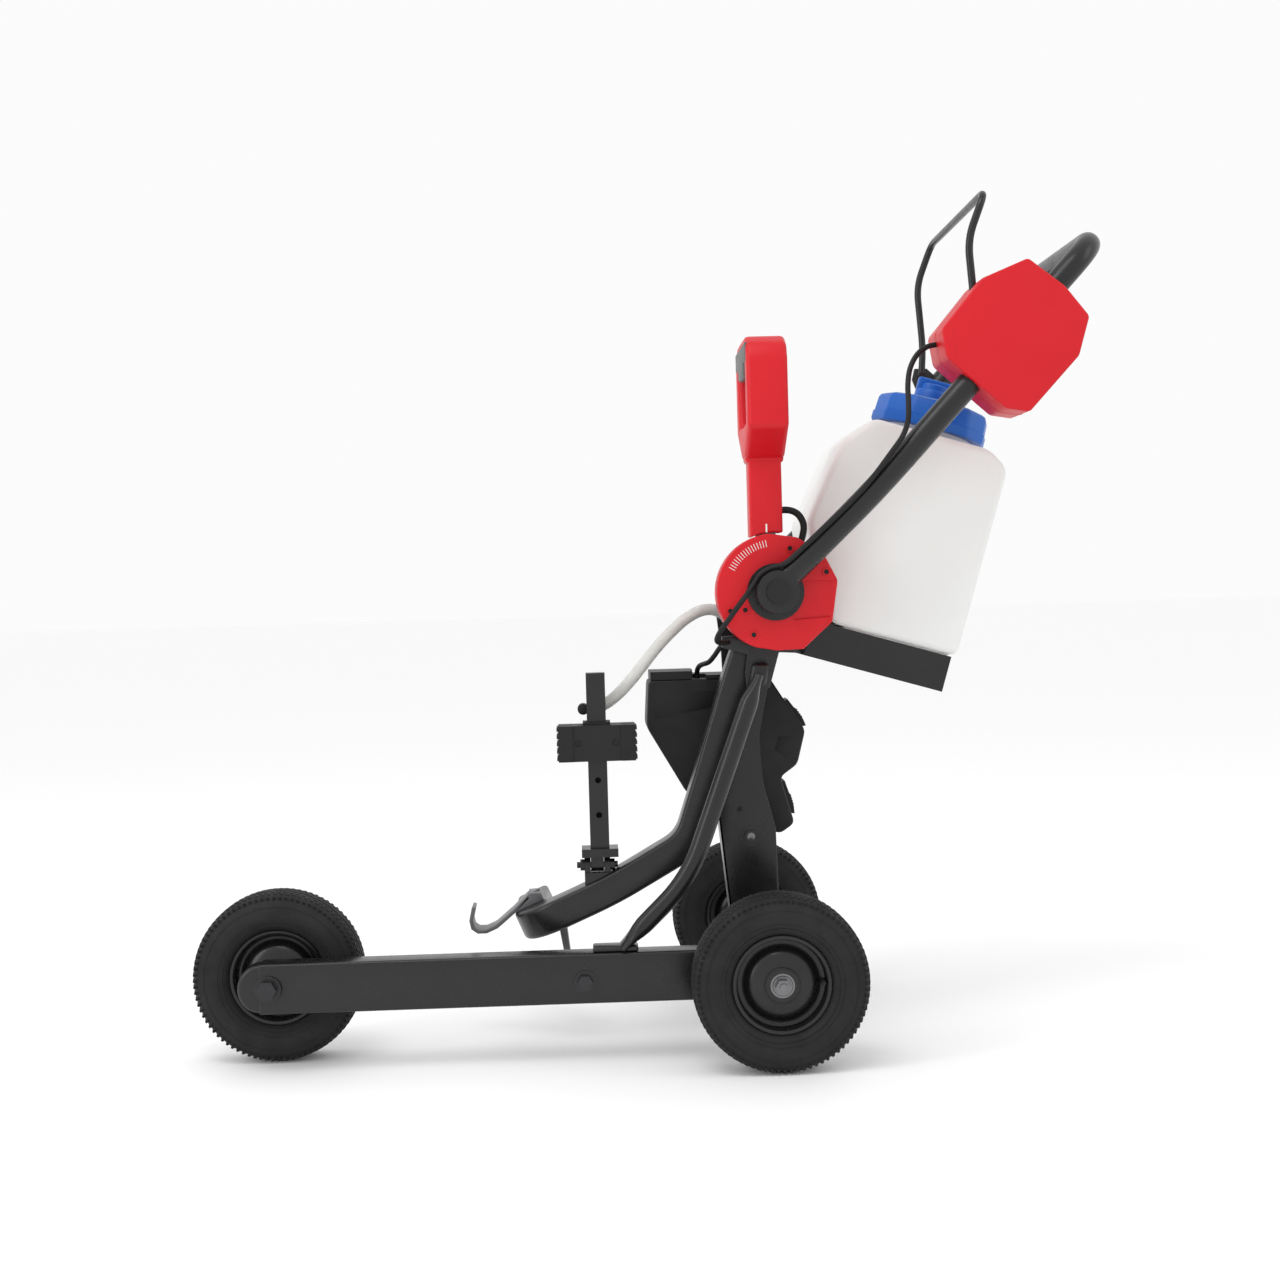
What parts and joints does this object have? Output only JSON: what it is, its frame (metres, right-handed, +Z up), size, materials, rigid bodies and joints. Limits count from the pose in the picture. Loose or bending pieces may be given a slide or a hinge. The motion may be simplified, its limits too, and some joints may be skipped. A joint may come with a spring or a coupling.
{
  "type": "cut-off saw cart",
  "caption": "Walk-behind cart for a hand-held cut-off saw: offset rail on wheels, tilting carrier with a geared depth lever, folding handle with throttle bail, water tank and hose.",
  "frame": {"origin": "middle of the bounding box at rest, on the floor under the tyres", "axes": "X runs back from the front wheel to the handle, Y from the operator's left side to the right, Z up"},
  "size_m": [1.201, 0.558, 1.1009],
  "materials": {
    "black_paint": "satin powder coat",
    "grey_paint": "satin grey coat",
    "steel": "zinc plated",
    "dark_steel": "black oxide",
    "red_plastic": "satin moulded",
    "black_plastic": "fine texture",
    "rubber": "matt",
    "grey_plastic": "fine texture",
    "brass": "machined",
    "white_plastic": "moulded",
    "tyre": "matt",
    "tank_plastic": "translucent natural",
    "blue_plastic": "moulded",
    "clear_hose": "clear braided look"
  },
  "bodies": {
    "frame": {"main_rail": "black_paint", "axle_tube": "black_paint", "rear_axle": "steel", "axle_nuts": "steel", "front_axle_bolt": "dark_steel", "brace_tube": "black_paint", "rear_upright": "black_paint", "frame_bolts": "dark_steel", "pivot_tube": "black_paint", "pivot_shaft": "steel", "dial_base": "red_plastic", "dial_cover": "red_plastic", "dial_screws": "steel", "hub_disc": "black_paint", "tank_tray": "black_paint", "tank_outlet": "black_plastic", "water_hose_rear": "clear_hose", "throttle_cable_lower": "rubber"},
    "front_wheel": {"front_tyre": "tyre", "front_rim": "black_paint", "front_bearings": "steel"},
    "left_wheel": {"left_tyre": "tyre", "left_rim": "black_paint", "left_bearings": "steel"},
    "right_wheel": {"right_tyre": "tyre", "right_rim": "black_paint", "right_bearings": "steel"},
    "boom": {"boom_tube": "black_paint", "boom_hub": "steel", "shroud_hanger": "black_paint", "shroud_near": "black_plastic", "shroud_far": "black_plastic", "hook_bracket": "grey_paint", "post_foot": "black_paint", "water_hose_front": "clear_hose"},
    "lid": {"shroud_lid": "black_plastic"},
    "upper_catch": {"upper_latch": "black_plastic"},
    "lower_catch": {"lower_latch": "black_plastic"},
    "plunger": {"throttle_plunger": "white_plastic"},
    "lever": {"lever_near": "red_plastic", "lever_far": "red_plastic", "lever_hub": "steel", "release_cable": "rubber"},
    "trigger": {"release_trigger": "grey_plastic"},
    "shoe": {"lock_shoe": "brass"},
    "layshaft": {"layshaft": "steel"},
    "handle": {"handle_hubs": "black_paint", "handle_tube": "black_paint", "throttle_box_near": "red_plastic", "throttle_box_far": "red_plastic", "handle_caps": "black_plastic", "throttle_cable_upper": "rubber"},
    "bail": {"bail": "black_paint"},
    "post": {"post_tube": "black_paint", "hose_connector": "black_plastic"},
    "clamp": {"clamp_block": "black_plastic", "clamp_pads": "rubber"},
    "tank": {"water_tank": "tank_plastic"},
    "cap": {"tank_cap": "blue_plastic"},
    "knob": {"cap_knob": "blue_plastic"}
  },
  "joints": [
    {"name": "front_wheel_spin", "type": "hinge", "parent": "frame", "child": "front_wheel", "pos_m": [-0.488, -0.092, 0.111], "axis": [0, 1, 0], "continuous": true},
    {"name": "left_wheel_spin", "type": "hinge", "parent": "frame", "child": "left_wheel", "pos_m": [0.156, -0.236, 0.111], "axis": [0, 1, 0], "continuous": true},
    {"name": "right_wheel_spin", "type": "hinge", "parent": "frame", "child": "right_wheel", "pos_m": [0.156, 0.236, 0.111], "axis": [0, 1, 0], "continuous": true},
    {"name": "depth_lever", "type": "hinge", "parent": "frame", "child": "lever", "pos_m": [0.17, 0, 0.595], "axis": [0, -1, 0], "range_deg": [0, 58]},
    {"name": "boom_tilt", "type": "hinge", "parent": "frame", "child": "boom", "pos_m": [0.17, 0, 0.595], "axis": [0, -1, 0], "range_deg": [0, 19]},
    {"name": "layshaft_turn", "type": "hinge", "parent": "frame", "child": "layshaft", "pos_m": [0.20825, -0.146, 0.57955], "axis": [0, -1, 0], "range_deg": [-33.5, 0]},
    {"name": "trigger_squeeze", "type": "slide", "parent": "lever", "child": "trigger", "axis": [0, 0, 1], "range_m": [0, 0.006], "stiffness_N_per_m": 300},
    {"name": "shoe_slide", "type": "slide", "parent": "frame", "child": "shoe", "axis": [-0.5, 0, -0.866], "range_m": [0, 0.003]},
    {"name": "handle_tilt", "type": "hinge", "parent": "frame", "child": "handle", "pos_m": [0.17, 0, 0.595], "axis": [0, -1, 0], "range_deg": [-25, 25]},
    {"name": "bail_swing", "type": "hinge", "parent": "handle", "child": "bail", "pos_m": [0.43, 0, 0.905], "axis": [0, 1, 0], "range_deg": [0, 24], "stiffness_Nm_per_rad": 4, "springref_deg": -20.05},
    {"name": "plunger_slide", "type": "slide", "parent": "boom", "child": "plunger", "axis": [0, 0, -1], "range_m": [0, 0.0121]},
    {"name": "post_tilt", "type": "hinge", "parent": "boom", "child": "post", "pos_m": [-0.067, -0.089, 0.241], "axis": [1, 0, 0], "range_deg": [-25, 12]},
    {"name": "clamp_slide", "type": "slide", "parent": "post", "child": "clamp", "axis": [0, 0, 1], "range_m": [-0.11, 0]},
    {"name": "lid_hinge", "type": "hinge", "parent": "boom", "child": "lid", "pos_m": [0.014, 0.04, 0.483], "axis": [0, -1, 0], "range_deg": [0, 8]},
    {"name": "upper_catch_hinge", "type": "hinge", "parent": "boom", "child": "upper_catch", "pos_m": [0.2004, 0.035, 0.4446], "axis": [0, -1, 0], "range_deg": [0, 35]},
    {"name": "lower_catch_hinge", "type": "hinge", "parent": "boom", "child": "lower_catch", "pos_m": [0.1938, 0.035, 0.3318], "axis": [0, -1, 0], "range_deg": [0, 35]},
    {"name": "tank_lift", "type": "slide", "parent": "frame", "child": "tank", "axis": [0.284, 0, 0.9588], "range_m": [0, 0.08]},
    {"name": "cap_turn", "type": "hinge", "parent": "tank", "child": "cap", "pos_m": [0.40574, 0, 0.81834], "axis": [0.284, 0, 0.9588], "continuous": true},
    {"name": "knob_turn", "type": "hinge", "parent": "cap", "child": "knob", "pos_m": [0.40851, 0, 0.84881], "axis": [0.284, 0, 0.9588], "continuous": true}
  ],
  "couplings": [
    {"joint": "boom_tilt", "follows": "depth_lever", "ratio": 0.32653},
    {"joint": "layshaft_turn", "follows": "depth_lever", "ratio": -0.57143},
    {"joint": "shoe_slide", "follows": "trigger_squeeze", "ratio": 0.5},
    {"joint": "plunger_slide", "follows": "bail_swing", "m_per_rad": 0.0286}
  ]
}
